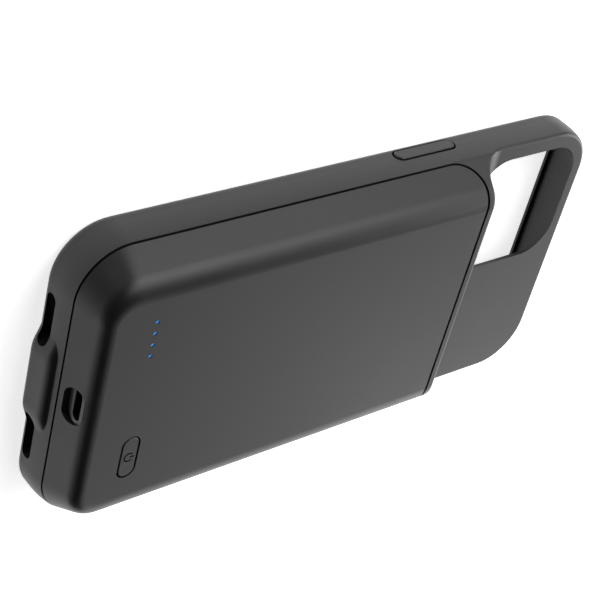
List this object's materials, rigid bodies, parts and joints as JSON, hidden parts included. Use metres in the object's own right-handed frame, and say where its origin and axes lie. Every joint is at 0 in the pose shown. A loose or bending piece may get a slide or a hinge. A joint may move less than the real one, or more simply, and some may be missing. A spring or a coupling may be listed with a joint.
{
  "type": "battery charging case",
  "caption": "Dark grey battery charging case: a phone tray with a battery hump on its back, a camera cut-out, a charge port, a power button, charge lights and side keys.",
  "frame": {"origin": "under the middle of the whole case, on the surface that its front rim lies on", "axes": "+Z is the case's back, +Y its camera end, -Y the end with the ports and -X the side with the camera cut-out and the single side key"},
  "size_m": [0.0782, 0.1585, 0.0192],
  "materials": {
    "tray_plastic": "soft-touch matt, dark grey",
    "cover_plastic": "soft-touch matt, dark grey",
    "button_plastic": "matt, dark grey, with an engraved power sign",
    "key_plastic": "matt, dark grey",
    "lit_plastic": "clear, lit blue from below",
    "port_metal": "drawn and plated black",
    "port_insulator": "grey",
    "circuit_board": "green solder mask",
    "chip_plastic": "black moulding",
    "plunger_plastic": "pale moulding",
    "coil_ferrite": "pressed metal powder",
    "lamp_plastic": "clear lens on a white body",
    "tape_foam": "adhesive foam",
    "pouch_foil": "laminated foil",
    "positive_sleeve": "red silicone",
    "negative_sleeve": "black silicone",
    "plug_plastic": "dark grey",
    "plug_metal": "plated",
    "flex_film": "amber film"
  },
  "bodies": {
    "case": {"phone_frame": "tray_plastic", "battery_cover": "cover_plastic", "light_guide": "lit_plastic", "charge_port_shell": "port_metal", "charge_port_tongue": "port_insulator", "main_board": "circuit_board", "cell_board": "circuit_board", "plug_board": "circuit_board", "switch_body": "chip_plastic", "charge_chip": "chip_plastic", "boost_coil": "coil_ferrite", "led_1": "lamp_plastic", "led_2": "lamp_plastic", "led_3": "lamp_plastic", "led_4": "lamp_plastic", "battery_tape": "tape_foam", "battery_cell": "pouch_foil", "positive_lead": "positive_sleeve", "negative_lead": "negative_sleeve", "plug_base": "plug_plastic", "plug_blade": "plug_metal", "flex_cable": "flex_film"},
    "power_button": {"power_button": "button_plastic", "switch_plunger": "plunger_plastic"},
    "side_key": {"side_key": "key_plastic"},
    "volume_up_key": {"volume_up_key": "key_plastic"},
    "volume_down_key": {"volume_down_key": "key_plastic"}
  },
  "joints": [
    {"name": "power_press", "type": "slide", "parent": "case", "child": "power_button", "axis": [0, 0, -1], "range_m": [0, 0.0003], "stiffness_N_per_m": 4000},
    {"name": "side_key_press", "type": "slide", "parent": "case", "child": "side_key", "axis": [1, 0, 0], "range_m": [0, 0.0005], "stiffness_N_per_m": 3000},
    {"name": "volume_up_press", "type": "slide", "parent": "case", "child": "volume_up_key", "axis": [-1, 0, 0], "range_m": [0, 0.0005], "stiffness_N_per_m": 3000},
    {"name": "volume_down_press", "type": "slide", "parent": "case", "child": "volume_down_key", "axis": [-1, 0, 0], "range_m": [0, 0.0005], "stiffness_N_per_m": 3000}
  ]
}
